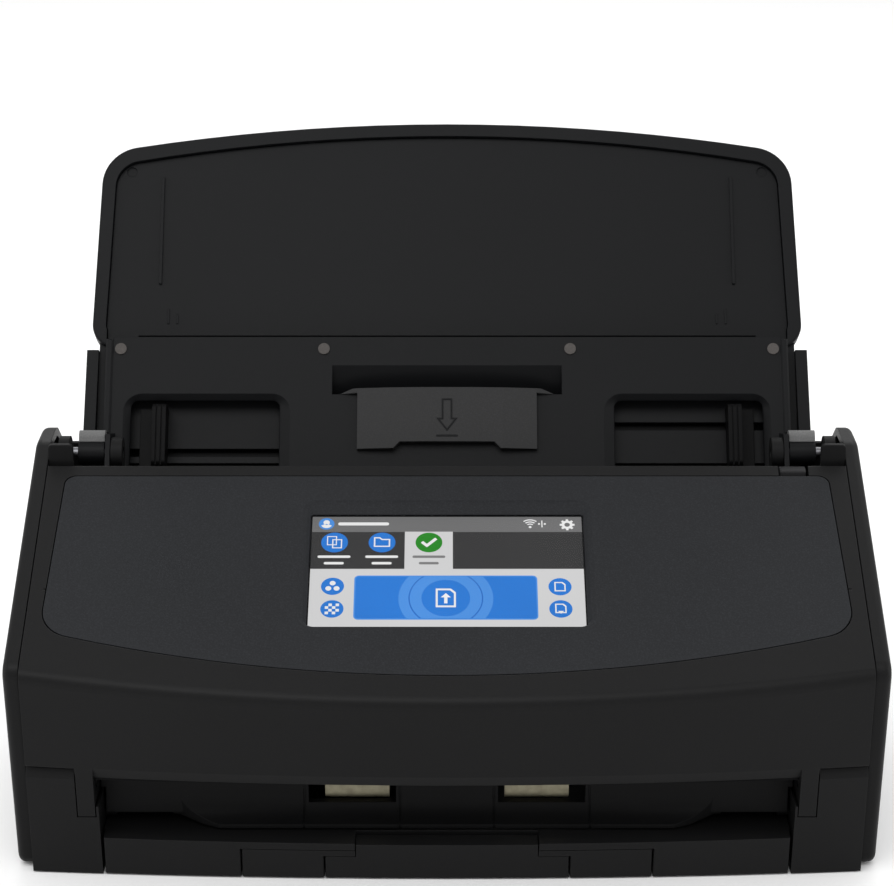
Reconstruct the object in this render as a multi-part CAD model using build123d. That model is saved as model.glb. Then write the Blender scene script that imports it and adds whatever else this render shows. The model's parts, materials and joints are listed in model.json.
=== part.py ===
from build123d import *
import os
from math import cos, radians, sin, tan

# Sheet-fed desktop document scanner. Millimetres, X to the right, Y to the back, Z up, table at Z = 0.
# The model is drawn with Y = 0 at the foot of the side covers and is centred in Y when it is written.

# ---- driving dimensions ----
SIDE_OUT = 146.0            # half of the overall width
SIDE_IN = 140.6             # inner face of a side cover
UNIT_HALF = 140.2           # half width of the front unit
REAR = 136.0                # rear face
FLOOR = 1.5                 # underside of the base, on its feet
SKIRT = 0.5                 # lower edge of the outer covers, close above the table
WALL = 2.5                  # usual moulding thickness
SLOT_TOP = 38.6             # height of the exit slot's upper lip
BLOCK_TOP = 41.3            # height of the corner blocks
TRAY_TOP = 15.0             # top of the stowed stacker
PAPER_HALF = 112.5          # half width of the paper guides

# front skin: its height line leans, and it bows forward at the middle
NOSE_FOOT = -8.8
NOSE_LEAN = -15.9 / 72.0
SAG_FOOT = 5.6
SAG_RISE = 6.4 / 77.0

# sloping top panel
PANEL_ANGLE = 25.9
PANEL_Y = -7.5
PANEL_Z = 80.5
UNIT_REAR = 72.5            # rear face of the front unit
BLOCK_REAR = 8.5            # rear of a corner block, above its foot
BLOCK_FOOT_REAR = 20.0
SCREW_X = 128.0
SCREW_Y = 122.0
SCREW_HEAD_R = 3.5

# hinges
COVER_HINGE = (-3.0, 34.0)  # the front unit opens forward about this line
CHUTE_HINGE = (84.0, 120.3)  # the chute folds forward about this line
LEVER_HINGE = (71.5, 103.0)
PIN_R = 2.0
RUN = 0.05                  # radial clearance of a running fit

# paper chute
CHUTE_ANGLE = 55.0
HINGE_RISE = 16.2           # the chute hinge stands this far in front of the paper surface
CHUTE_HALF = 130.0
CHUTE_TIP = 132.0           # length of the chute from the hinge's foot to its tip
CHUTE_BACK = -8.5
PINION_POST_R = 1.5
KNUCKLE_IN = 121.4          # span of a hinge knuckle along the hinge
KNUCKLE_OUT = 130.6
BARREL_R = 4.2

# paper path behind the front unit: a slope, a bend and a level run out
EXIT_Z = 34.3
BEND_R = 35.0
GUIDE_BACK = 2.6            # outer face of the front paper guide, in front of the paper

# drive rollers
PICK_R = 10.0
FEED_R = 6.0
EXIT_R = 7.0
SHAFT_R = 3.0
FRONT_SHAFT_R = 1.5
PICK_RUN = 50.0             # distance up the slope from the end of the bend
FEED_RUN = 33.0
EXIT_Y = 14.5
MOTOR = (104.0, 40.0)
INLET_X = -94.0             # power inlet
INLET_Z = 16.0
INLET_FLOOR = 125.6
PULLEY_R = 4.6
BELT_X = 124.0

# ---- frames ----
slope_u = Vector(0, cos(radians(CHUTE_ANGLE)), sin(radians(CHUTE_ANGLE)))
slope_n = Vector(0, -sin(radians(CHUTE_ANGLE)), cos(radians(CHUTE_ANGLE)))
foot = Vector(0, *CHUTE_HINGE) - slope_n * HINGE_RISE
CHUTE = Plane(origin=foot, x_dir=(1, 0, 0), z_dir=slope_n)
panel_normal = Vector(0, -sin(radians(PANEL_ANGLE)), cos(radians(PANEL_ANGLE)))
PANEL = Plane(origin=(0, PANEL_Y, PANEL_Z), x_dir=(1, 0, 0), z_dir=panel_normal)

bend_turn = radians(CHUTE_ANGLE)
bend_y = foot.Y - (foot.Z - EXIT_Z) / tan(bend_turn) - BEND_R * tan(bend_turn / 2)
bend_centre = Vector(0, bend_y, EXIT_Z + BEND_R)


# ---- helpers ----
def block(x0, x1, y0, y1, z0, z1):
    return Pos((x0 + x1) / 2, (y0 + y1) / 2, (z0 + z1) / 2) * Box(x1 - x0, y1 - y0, z1 - z0)


def prism(points, x0, x1):
    """A y-z outline drawn along X from x0 to x1."""
    face = make_face(Plane.YZ.offset(x0) * Polyline(*points, close=True))
    return extrude(face, amount=x1 - x0, dir=(1, 0, 0))


def soft_prism(corners, x0, x1):
    """As prism, with a radius given at each corner as its third value."""
    points = [(y, z) for y, z, r in corners]
    line = FilletPolyline(*points, radius=[r for y, z, r in corners], close=True)
    return extrude(make_face(Plane.YZ.offset(x0) * line), amount=x1 - x0, dir=(1, 0, 0))


def rod(r, x0, x1, y, z):
    return Pos((x0 + x1) / 2, y, z) * Rot(0, 90, 0) * Cylinder(r, x1 - x0)


def tube(r_out, r_in, x0, x1, y, z):
    return rod(r_out, x0, x1, y, z) - rod(r_in, x0 - 1, x1 + 1, y, z)


def pair(shape):
    """The shape and its mirror image, as separate solids."""
    return [shape, mirror(shape, about=Plane.YZ)]


def fuse(shapes):
    result = shapes[0]
    for shape in shapes[1:]:
        result = result + shape
    return result


def sheet(outline, low, high):
    """A flat outline made into a plate between two heights of its own plane."""
    return extrude(Pos(0, 0, low) * outline, amount=high - low, dir=(0, 0, 1))


def rounded_sheet(x0, x1, y0, y1, z0, z1, r):
    outline = Pos((x0 + x1) / 2, (y0 + y1) / 2) * RectangleRounded(x1 - x0, y1 - y0, r)
    return sheet(outline, z0, z1)


# ---- front skin ----
def skin_y(z):
    return NOSE_FOOT + NOSE_LEAN * z


def skin_sag(z, half):
    return (SAG_FOOT + SAG_RISE * z) * (half / UNIT_HALF) ** 2


def bowed_level(half, inset, rear, z):
    y = skin_y(z) + inset
    side_y = y + skin_sag(z, half)
    edges = [
        ThreePointArc((-half, side_y, z), (0, y, z), (half, side_y, z)),
        Line((half, side_y, z), (half, rear, z)),
        Line((half, rear, z), (-half, rear, z)),
        Line((-half, rear, z), (-half, side_y, z)),
    ]
    return make_face(edges)


def bowed(half, inset, rear, z0, z1):
    """A block whose front follows the bowed, leaning skin."""
    return loft([bowed_level(half, inset, rear, z0), bowed_level(half, inset, rear, z1)], ruled=True)


def hinge_cone(extra):
    """The turning space of the cover's lower corners, widest at its inner end."""
    inner, outer = 11.5 + extra, 10.2 + extra
    reach = 141.0 - 123.8
    cone = Cone(inner, outer, reach)
    return Pos(123.8 + reach / 2, *COVER_HINGE) * Rot(0, 90, 0) * cone


def above_panel(drop):
    """Everything above the sloping panel, lowered by drop."""
    return PANEL * block(-200, 200, -120, 220, -drop, 140)


# ---- paper path ----
def path_point(run, offset):
    """A point up the slope from the end of the bend, offset to the front of the paper."""
    return bend_centre - slope_n * (BEND_R - offset) + slope_u * run


def paper_band(low, high, run, exit_y, half):
    """A guide plate that follows the paper between two offsets from it."""
    a_top, a_bend = path_point(run, low), path_point(0, low)
    b_top, b_bend = path_point(run, high), path_point(0, high)

    def mid_bend(offset):
        turn = radians(CHUTE_ANGLE / 2)
        return bend_centre + Vector(0, sin(turn), -cos(turn)) * (BEND_R - offset)

    def level(offset):
        return Vector(0, bend_centre.Y, EXIT_Z + offset)

    def out(offset):
        return Vector(0, exit_y, EXIT_Z + offset)

    edges = [
        Line(a_top, a_bend),
        ThreePointArc(a_bend, mid_bend(low), level(low)),
        Line(level(low), out(low)),
        Line(out(low), out(high)),
        Line(out(high), level(high)),
        ThreePointArc(level(high), mid_bend(high), b_bend),
        Line(b_bend, b_top),
        Line(b_top, a_top),
    ]
    return extrude(Pos(-half, 0, 0) * make_face(edges), amount=2 * half, dir=(1, 0, 0))


def slope_box(x0, x1, run0, run1, low, high):
    """A box beside the sloping part of the path."""
    origin = bend_centre - slope_n * BEND_R
    frame = Plane(origin=origin, x_dir=(1, 0, 0), z_dir=slope_n)
    return frame * block(x0, x1, run0, run1, low, high)


# ---- base ----
def make_base_tray():
    floor = bowed(139.9, 9.0, 133.3, FLOOR, FLOOR + 2.5) - block(-116.6, 116.6, -20, 0.6, 0, 10)
    for corner in pair(block(116.2, 141, -20, BLOCK_FOOT_REAR, 0, 10)):
        floor = floor - corner
    side_rail = block(117.0, 119.4, BLOCK_FOOT_REAR, 108, 4, 20)
    ledge = block(112.6, 119.4, 9, 108, TRAY_TOP + 0.4, 17.4)
    stop = block(-110, 110, 108.4, 111, 4, 12)
    posts = pair(Pos(SCREW_X, SCREW_Y, 14) * Cylinder(4.5, 20))
    tray = fuse([floor, stop] + pair(side_rail + ledge) + posts)
    for hole in pair(Pos(SCREW_X, SCREW_Y, 2.4) * Cylinder(SCREW_HEAD_R, 1.8)):
        tray = tray - hole
    return tray


def make_corner_block():
    levels = ((0, SKIRT), (0, BLOCK_TOP - 3.2), (1.9, BLOCK_TOP))
    solid = loft([bowed_level(140.3, inset, BLOCK_FOOT_REAR, z) for inset, z in levels], ruled=True)
    solid = solid - block(100, 150, BLOCK_REAR, 30, 8, 60)
    below = block(120, 145, -60, 60, -5, COVER_HINGE[1])
    body = solid & block(123.9, 140.3, -40, 30, 0, 60) & (below + hinge_cone(-0.35))
    cheek = solid & block(116.4, 123.9, -40, 30, 0, 27.6)
    cheek = cheek - rod(12.05, 117.2, 123.9, *COVER_HINGE)
    body = body + cheek - block(126.5, 137.5, 2.0, 17.5, 0, 24)
    body = body - rod(PULLEY_R + 2.4, 123, 130.5, *exit_shaft_centre())
    return body - rod(PIN_R, 123, 133, *COVER_HINGE)


def make_cover_pins():
    return pair(rod(PIN_R, 118.0, 133, *COVER_HINGE))


def make_side_cover():
    corners = [
        (0.3, SKIRT, 5), (-12.0, 78.0, 6), (84.0, 124.7, 9), (101.0, 124.7, 12),
        (REAR, 99.0, 7), (REAR, SKIRT, 4),
    ]
    outer = soft_prism(corners, SIDE_IN, SIDE_OUT)
    outer_edges = outer.faces().sort_by(Axis.X)[-1].edges()
    outer = fillet(outer_edges, 2.6)
    hollow = soft_prism(
        [(3.5, 4.5, 3), (-8.3, 76.5, 3), (84.8, 121.6, 6), (100.2, 121.6, 9),
         (REAR - 3, 97.3, 5), (REAR - 3, 4.5, 3)], SIDE_IN - 1, SIDE_OUT - 2.6)
    cover = outer - hollow
    bosses = [rod(4, SIDE_IN, SIDE_OUT - 2.6, y, z) for y, z in ((20, 20), (120, 20), (118, 88))]
    return fuse([cover] + bosses)


def make_rear_cover():
    outer = soft_prism(
        [(REAR - 0.2, FLOOR + 2.5, 1), (REAR - 0.2, 97, 8), (105.5, 97, 3), (101.5, 84, 0.5),
         (103.9, 83.2, 0.5), (107.4, 94.5, 1), (REAR - 2.7, 94.5, 5), (REAR - 2.7, FLOOR + 2.5, 0.5)],
        -UNIT_HALF, UNIT_HALF)
    inlet_hole = block(-101.4, -86.6, 120, 140, 9.4, 22.6)
    usb_hole = block(-71.2, -58.8, 120, 140, 10.4, 21.6)
    lock_hole = block(112.0, 119.0, 120, 140, 12.0, 15.0)
    vents = [block(x, x + 16, 120, 140, z, z + 1.8) for x in (-40, -20, 0, 20, 40) for z in (34, 38, 42, 46, 50)]
    cover = outer - inlet_hole - usb_hole - lock_hole
    for vent in vents:
        cover = cover - vent
    grip = rounded_sheet(-34, 34, 70, 84, 0, 0.9, 5)
    grip = Plane(origin=(0, REAR - 1.0, 0), x_dir=(-1, 0, 0), z_dir=(0, 1, 0)) * grip
    return cover - grip


def make_feet():
    feet = []
    for x in (-124, 124):
        for y in (28, 108):
            foot_pad = Pos(x, y, FLOOR / 2) * Cylinder(7, FLOOR)
            feet.append(chamfer(foot_pad.faces().sort_by(Axis.Z)[0].edges(), 0.4))
    return feet


def make_bearing_wall(side):
    """A side wall of the drive frame, with a bore for each shaft."""
    outline = [(24, 4), (112, 4), (112, 60), (100, 78), (97.5, 91), (86, 91), (70, 66), (24, 44),
               (9.2, 36), (9.2, 21), (24, 16)]
    wall = prism(outline, 120.0, 122.0)
    foot_flange = block(120.0, 127, 40, 96, 4, 6)
    wall = wall + foot_flange
    for y, z in shaft_centres():
        wall = wall - rod(SHAFT_R + RUN, 118, 124, y, z)
    if side < 0:
        wall = mirror(wall, about=Plane.YZ) - rod(5.3, -124, -118, *MOTOR)
    return wall


def shaft_centres():
    pick = path_point(PICK_RUN, -PICK_R - 0.1)
    feed = path_point(FEED_RUN, -FEED_R - 0.1)
    return [(pick.Y, pick.Z), (feed.Y, feed.Z), exit_shaft_centre()]


def exit_shaft_centre():
    return (EXIT_Y, EXIT_Z - EXIT_R - 0.1)


def make_exit_guide():
    """The wall under the exit slot, with two roller pockets and a flared lower edge."""
    upper = prism([(5.2, 33.0), (4.2, 18.8), (6.8, 18.8), (7.8, 30.2), (24.5, 30.2), (24.5, 33.0)], -115.6, 115.6)
    ends = prism([(5.2, 33.0), (4.85, 28.0), (7.6, 28.0), (8.0, 33.0)], -117.2, 117.2)
    flare_side = [
        Line((0, -2.0, 15.9), (0, -2.0, 17.2)),
        ThreePointArc((0, -2.0, 17.2), (0, 2.3, 19.6), (0, 4.6, 24.2)),
        Line((0, 4.6, 24.2), (0, 6.2, 24.2)),
        Line((0, 6.2, 24.2), (0, 6.8, 18.8)),
        Line((0, 6.8, 18.8), (0, 0.8, 15.9)),
        Line((0, 0.8, 15.9), (0, -2.0, 15.9)),
    ]
    apron = extrude(Pos(-93, 0, 0) * make_face(flare_side), amount=186, dir=(1, 0, 0))
    corner_cut = Plane.XY.offset(10) * make_face(Polyline((-94, -6), (-68.5, -6), (-91, 4.9), (-94, 4.9), close=True))
    corner_cut = extrude(corner_cut, amount=14, dir=(0, 0, 1))
    apron = apron - corner_cut - mirror(corner_cut, about=Plane.YZ)
    guide = fuse([upper, ends, apron])
    pocket = block(17.3, 46.9, 0, 30, 22.6, 40)
    # shallow grooves beside the pockets: all that stands in front of the same wall moved back
    moved_back = Pos(0, 0.6, 0) * guide
    grooves = [block(x, x + 0.8, -3, 5.0, 15, 34) - moved_back for x in (15.5, 47.9)]
    for groove in grooves:
        for shape in pair(groove):
            guide = guide - shape
    for shape in pair(pocket):
        guide = guide - shape
    leg = prism([(10, 17.4), (10, 30.2), (22, 30.2), (22, 17.4)], 112.8, 115.4)
    leg = leg - rod(SHAFT_R + 0.6, 110, 118, *exit_shaft_centre())
    return fuse([guide] + pair(leg))


def roller_slots(runs, low, high):
    slots = []
    for run, xs, width in runs:
        for x in xs:
            slots += pair(slope_box(x, x + width, run - 9, run + 9, low, high))
    return slots


PICK_SLOTS = [(PICK_RUN, (9.5,), 17)]
FEED_SLOTS = [(FEED_RUN, (29.5, 74.5), 17)]


def make_lower_guide():
    top_run = (foot - bend_centre + slope_n * BEND_R).dot(slope_u) - 7.0
    guide = paper_band(-2.8, -0.8, top_run, 25.0, PAPER_HALF)
    for slot in roller_slots(PICK_SLOTS + FEED_SLOTS, -6, 1):
        guide = guide - slot
    return guide - slope_box(-109, 109, 10.8, 23.2, -6, 1)


def make_rear_scan_unit():
    shell = slope_box(-112, 112, 5, 26, -20, -3.4)
    trough = slope_box(-109, 109, 8, 23.5, -17.5, -5.4)
    window = slope_box(-109, 109, 11.0, 23.0, -8, -3)
    return shell - trough - window


def make_rear_glass():
    return slope_box(-108.8, 108.8, 11.0, 23.0, -3.3, -1.1)


def roller_group(centre, radius, spans, shaft_r):
    solids = []
    for x0, x1 in spans:
        solids += pair(tube(radius, shaft_r, x0, x1, *centre))
    return solids


def make_shaft(centre, left_end=-128.5, right_end=123.0):
    shaft = rod(SHAFT_R, left_end, right_end, *centre)
    return shaft


def make_pulley(centre):
    wheel = tube(PULLEY_R, SHAFT_R, -BELT_X - 4, -BELT_X + 1, *centre)
    rims = [tube(PULLEY_R + 1.3, SHAFT_R, x, x + 0.8, *centre) for x in (-BELT_X - 4, -BELT_X + 0.2)]
    return fuse([wheel] + rims)


def make_belt():
    """One belt round the motor, pick, feed and exit pulleys, standing clear of them."""
    centres = drive_centres()
    inner = [Pos(y, z) * CenterArc((0, 0), PULLEY_R + RUN, 0, 360) for y, z in centres]
    outer = [Pos(y, z) * CenterArc((0, 0), PULLEY_R + RUN + 0.9, 0, 360) for y, z in centres]
    ring = make_hull(outer) - make_hull(inner)
    return extrude(Plane.YZ.offset(-BELT_X - 3.0) * ring, amount=2.9, dir=(1, 0, 0))


def drive_centres():
    return shaft_centres() + [MOTOR]


def make_motor():
    y, z = MOTOR
    can = rod(17, -119.8, -84, y, z)
    can = fillet(can.edges(), 1.2)
    nose = rod(5.0, -122.4, -119.8, y, z)
    bore = rod(SHAFT_R + RUN, -124, -100, y, z)
    return can + nose - bore


def make_motor_shaft():
    return rod(SHAFT_R, -128.5, -101, *MOTOR)


def make_main_board():
    board = block(-108, -12, 128.2, 129.8, 6, 62) - block(-101.6, -86.4, 126, 132, 0, 22.8)
    chips = [block(-60, -44, 125.6, 128.2, 34, 50), block(-36, -26, 126.2, 128.2, 40, 50),
             block(-90, -78, 122, 128.2, 36, 44)]
    caps = [Pos(x, 124, 56) * Rot(90, 0, 0) * Cylinder(3.4, 8.4) for x in (-100, -90, -24)]
    return fuse([board] + chips + caps)


def make_power_inlet():
    shell = block(-101.2, -86.8, 121.5, REAR - 0.4, 9.6, 22.4)
    mouth = Pos(INLET_X, (INLET_FLOOR + REAR) / 2, INLET_Z) * Rot(90, 0, 0) * Cylinder(3.25, REAR - INLET_FLOOR)
    return shell - mouth


def make_inlet_pin():
    return Pos(INLET_X, INLET_FLOOR + 4.5, INLET_Z) * Rot(90, 0, 0) * Cylinder(1.0, 9.0)


def make_usb_port():
    shell = block(-71.0, -59.0, 129.8, REAR - 0.4, 10.6, 21.4)
    mouth = block(-69.2, -60.8, 131.0, REAR + 1, 12.2, 19.8)
    tongue = block(-67.6, -62.4, 131.0, REAR - 1.6, 14.6, 17.4)
    return shell - mouth + tongue


def make_screws():
    """Heads of the housing screws, sunk in the floor under the two rear posts."""
    screws = []
    for x in (-SCREW_X, SCREW_X):
        head = Pos(x, SCREW_Y, 2.55) * Cylinder(SCREW_HEAD_R - 0.2, 1.5)
        drive = Pos(x, SCREW_Y, 1.6) * extrude(RegularPolygon(1.2, 6), amount=0.9)
        screws.append(head - drive)
    return screws


# ---- chute hinge lugs ----
def make_hinge_lugs():
    """An inner lug on each bearing wall and an outer lug up from the floor, with the chute's pin bore."""
    y, z = CHUTE_HINGE
    stalk = prism([(79.6, 119), (88.0, 119), (86.4, 112), (86.4, 80.5), (80.5, 80.5)], 115.0, 120.0)
    inner = rod(5.5, 115.0, 119.0, y, z) + (stalk - block(119.0, 121, 70, 95, 95, 130))
    outer = rod(6.0, 133.6, 137.4, y, z) + prism([(78.2, 119), (89.8, 119), (100.0, 4), (76.0, 4)], 133.6, 137.4)
    bore = rod(PIN_R + RUN, 110, 140, y, z)
    return pair(inner - bore) + pair(outer - bore)


# ---- stacker ----
def soften_front(shape):
    """Round the upright front edges of a stacker front."""
    upright = [e for e in shape.edges() if e.center().Y < -4 and abs(e.tangent_at(0.5).Z) > 0.9]
    return fillet([e for e in upright if e.length > 4], 0.7)


def make_stacker_tray():
    front = bowed(140.2, 0, 3.0, SKIRT + 0.2, TRAY_TOP) & block(-115.5, 115.5, -40, -0.2, 0, 40)
    front = front - block(-69.4, 69.4, -40, 5, 0, 12.3)
    front = soften_front(front) - block(-30.9, 30.9, -40, -2.0, 0, 20)
    plate = block(-112.2, 112.2, -0.2, 104, 12.4, TRAY_TOP)
    hole = block(-30.9, 30.9, -0.3, 4, 10, 20)
    rails = pair(block(112.2, 116.0, -0.2, 104, 4.4, TRAY_TOP - 0.0))
    return fuse([front, plate - hole] + rails)


def make_stacker_one():
    front = bowed(140.2, 0.1, 3.0, SKIRT + 0.2, 12.0) & block(-69.0, 69.0, -40, -0.2, 0, 40)
    front = front - block(-41.4, 41.4, -40, 5, 0, 9.75)
    front = soften_front(front) - block(-30.8, 30.8, -40, 5, 0, 20)
    plate = block(-69.0, 69.0, -0.2, 98, 9.8, 12.0) - block(-30.8, 30.8, -0.3, 3, 5, 20)
    rails = pair(block(64.0, 69.0, -0.2, 98, 4.4, 9.8))
    return fuse([front, plate] + rails)


def make_stacker_two():
    front = bowed(140.2, 0.2, 3.0, SKIRT + 0.2, 9.5) & block(-41.0, 41.0, -40, -0.2, 0, 40)
    front = soften_front(front)
    grip = bowed(140.2, 0.2, 3.0, 8.0, 14.5) & block(-30.5, 30.5, -40, -4.2, 0, 40)
    plate = block(-41.0, 41.0, -0.2, 92, 6.8, 9.5)
    rails = pair(block(36.0, 41.0, -0.2, 92, 4.4, 6.8))
    return fuse([front, grip, plate] + rails)


# ---- front unit ----
def make_front_frame():
    skin = bowed(UNIT_HALF, 0, UNIT_REAR, SLOT_TOP, 125) - above_panel(0)
    fold = [e for e in skin.edges() if e.length > 250 and e.center().Y < -8 and e.center().Z > 60]
    skin = fillet(fold, 4.5)
    lip = [e for e in skin.edges() if e.length > 250 and e.center().Y < -8 and e.center().Z < 45]
    front_face = [f for f in skin.faces() if f.center().Y < -8 and 45 < f.center().Z < 68][0]
    skin = chamfer(lip, 4.2, 1.5, reference=front_face)
    inner = bowed(UNIT_HALF - WALL, WALL, UNIT_REAR - WALL, SLOT_TOP - 10, 125) - above_panel(WALL)
    shell = skin - inner
    shell = shell - block(-PAPER_HALF - 0.8, PAPER_HALF + 0.8, 20, 90, 20, 108) - block(-136, 136, 20, 90, 20, 94)
    for cone in pair(hinge_cone(0)):
        shell = shell - cone
    for low in pair(block(123.8, 150, -60, 5, 20, BLOCK_TOP + 0.6)):
        shell = shell - low
    leg = bowed(UNIT_HALF, 0, 7.0, 20, 48) & block(117.6, 123.5, -60, 7.0, 20, 48)
    leg = leg & (rod(11.75, 117, 124, *COVER_HINGE) + block(117, 124, -60, 7, COVER_HINGE[1], 48))
    legs = pair(leg - rod(PIN_R + RUN, 110, 130, *COVER_HINGE))
    shell = fuse([shell] + legs)
    pocket = PANEL * sheet(inlay_outline(0.35), -1.7, 5)
    display = PANEL * rounded_sheet(-56, 56, 7.5, 77.5, -10, 5, 2)
    lever_notch = block(116.2, 126.8, 68.2, 80, 98, 130)
    return shell - pocket - display - lever_notch


def inlay_outline(grow):
    """The control panel inlay: straight top and sides, round lower corners and a bowed lower edge."""
    half_top, half_low = 133.3 + grow, 135.1 + grow
    top, low_side, low_mid = 83.9 + grow, 12.5 - grow, -6.9 - grow
    edges = [
        Line((-half_top, top), (half_top, top)),
        Line((half_top, top), (half_low, low_side)),
        ThreePointArc((half_low, low_side), (0, low_mid), (-half_low, low_side)),
        Line((-half_low, low_side), (-half_top, top)),
    ]
    face = make_face(edges)
    low_corners = face.vertices().sort_by(Axis.Y)[:2]
    face = fillet(low_corners, 12.0)
    top_corners = face.vertices().sort_by(Axis.Y)[-2:]
    return fillet(top_corners, 4.0)


def make_control_panel():
    plate = sheet(inlay_outline(0), -1.7, 0)
    # the recess round the display: its upper wall slopes, the others are steeper
    levels = ((49.9, 14.0, 72.3, 5.0, 0.01), (48.3, 14.4, 71.6, 4.0, -0.45), (47.2, 15.0, 68.2, 2.0, -1.2),
              (46.9, 15.4, 66.6, 1.0, -1.71))
    rings = [Pos(0, (low + high) / 2, z) * RectangleRounded(2 * half, high - low, r)
             for half, low, high, r, z in levels]
    return PANEL * (plate - loft(rings, ruled=True))


def make_touch_glass():
    return PANEL * rounded_sheet(-54, 54, 9.5, 75, -2.6, -1.75, 2)


def make_lcd_module():
    return PANEL * rounded_sheet(-52, 52, 10.5, 73.5, -7.0, -3.0, 1)


def make_panel_board():
    board = rounded_sheet(-60, 60, 4, 78, -13.0, -11.4, 2)
    connector = block(-15, 15, 20, 26, -11.4, -8.5)
    posts = fuse([block(x - 3, x + 3, y - 3, y + 3, -11.4, -WALL) for x in (-58.5, 58.5) for y in (8, 74)])
    return PANEL * fuse([board, connector, posts])


def make_front_guide():
    guide = paper_band(0.8, GUIDE_BACK, 54.0, 4.0, PAPER_HALF)
    a, b = path_point(54.0, 0.8), path_point(54.0, GUIDE_BACK)
    flare = prism([(a.Y, a.Z), (b.Y, b.Z), (67.4, 109.0), (67.4, 113.2), (69.9, 113.2),
                   (69.9, 107.9)], -PAPER_HALF, PAPER_HALF)
    lip = prism([(4.0, 35.1), (4.0, 36.9), (-18.0, 41.1), (-18.0, 38.7)], -117.2, 117.2)
    lip = lip & bowed(UNIT_HALF, WALL + 0.05, 60, 20, 60)
    guide = fuse([guide, flare, lip])
    for slot in roller_slots(PICK_SLOTS, -1, 30) + roller_slots(FEED_SLOTS, -1, 8):
        guide = guide - slot
    for slot in pair(block(19.0, 44.0, EXIT_Y - 7.5, EXIT_Y + 7.5, 33, 46)):
        guide = guide - slot
    guide = guide - slope_box(-109, 109, 9.8, 22.2, -1, 8)
    tab = block(PAPER_HALF, UNIT_HALF - WALL, 24, 40, 56, 58.4) + block(PAPER_HALF - 2.4, PAPER_HALF, 24, 40, 36.5, 58.4)
    tab = tab - paper_band(-40, GUIDE_BACK, 20, -30, 140)
    return fuse([guide] + pair(tab))


def make_front_scan_unit():
    shell = slope_box(-112, 112, 4, 25.5, GUIDE_BACK, 20)
    trough = slope_box(-109, 109, 7, 22.5, 5.4, 17.5)
    window = slope_box(-109, 109, 10.0, 22.0, 2, 8)
    return shell - trough - window


def make_front_glass():
    return slope_box(-108.8, 108.8, 10.0, 22.0, 1.1, 3.3)


def brake_centre():
    point = path_point(PICK_RUN, 7.3)
    return (point.Y, point.Z)


def idler_centres():
    feed = path_point(FEED_RUN, 5.3)
    return [(feed.Y, feed.Z), (EXIT_Y, EXIT_Z + 4.8)]


def front_rollers(centre, radius, spans):
    return roller_group(centre, radius, spans, FRONT_SHAFT_R + RUN)


def front_shaft_places():
    """Centre and half length of each roller shaft that the front unit holds."""
    feed, out = idler_centres()
    return [(brake_centre(), 31.0), (feed, 98.0), (out, 52.0)]


def make_front_shafts():
    return [rod(FRONT_SHAFT_R, -half, half, *centre) for centre, half in front_shaft_places()]


def make_shaft_clips():
    """Small blocks on the front paper guide that hold the ends of its roller shafts."""
    brake, feed, out = front_shaft_places()
    holders = []
    for (centre, half), run, rise in ((brake, PICK_RUN, 9.6), (feed, FEED_RUN, 7.6)):
        holder = slope_box(half - 3, half, run - 2.6, run + 2.6, GUIDE_BACK, rise)
        holders.append(holder - rod(FRONT_SHAFT_R, half - 4, half + 1, *centre))
    (y, z), half = out
    holder = block(half - 3, half, y - 2.6, y + 2.6, EXIT_Z + GUIDE_BACK, z + 2.6)
    holders.append(holder - rod(FRONT_SHAFT_R, half - 4, half + 1, y, z))
    return [clip for holder in holders for clip in pair(holder)]


def make_lever():
    y, z = LEVER_HINGE
    blade = soft_prism([(69.9, 101.0, 0.8), (70.6, 118.3, 0.8), (75.6, 118.3, 0.8), (75.6, 116.4, 0.5),
                        (73.0, 114.4, 0.5), (73.1, 101.0, 0.8)], 117.0, 126.0)
    return blade - rod(1.0 + RUN, 110, 130, y, z)


def make_lever_pin():
    return rod(1.0, 116.2, 126.8, *LEVER_HINGE)


# ---- chute ----
def chute_outline(shrink):
    """The wide upper part of the chute: straight sides, round corners and a bowed top edge."""
    half_low, half_top = CHUTE_HALF - shrink, CHUTE_HALF - 2.2 - shrink
    low, side_top, tip = 44.0 + shrink, 120.5 - shrink, CHUTE_TIP - shrink
    edges = [
        Line((-half_low, low), (half_low, low)),
        Line((half_low, low), (half_top, side_top)),
        ThreePointArc((half_top, side_top), (0, tip), (-half_top, side_top)),
        Line((-half_top, side_top), (-half_low, low)),
    ]
    face = make_face(edges)
    low_corners = face.vertices().sort_by(Axis.Y)[:2]
    face = fillet(low_corners, max(9.0 - shrink, 3.0))
    top_corners = face.vertices().sort_by(Axis.Y)[-2:]
    return fillet(top_corners, max(15.0 - shrink, 5.0))


def lower_outline(shrink, low=-5.0):
    half = 127.0 - shrink
    base = low + shrink
    return Pos(0, (base + 60) / 2) * Rectangle(2 * half, 60 - base)


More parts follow.
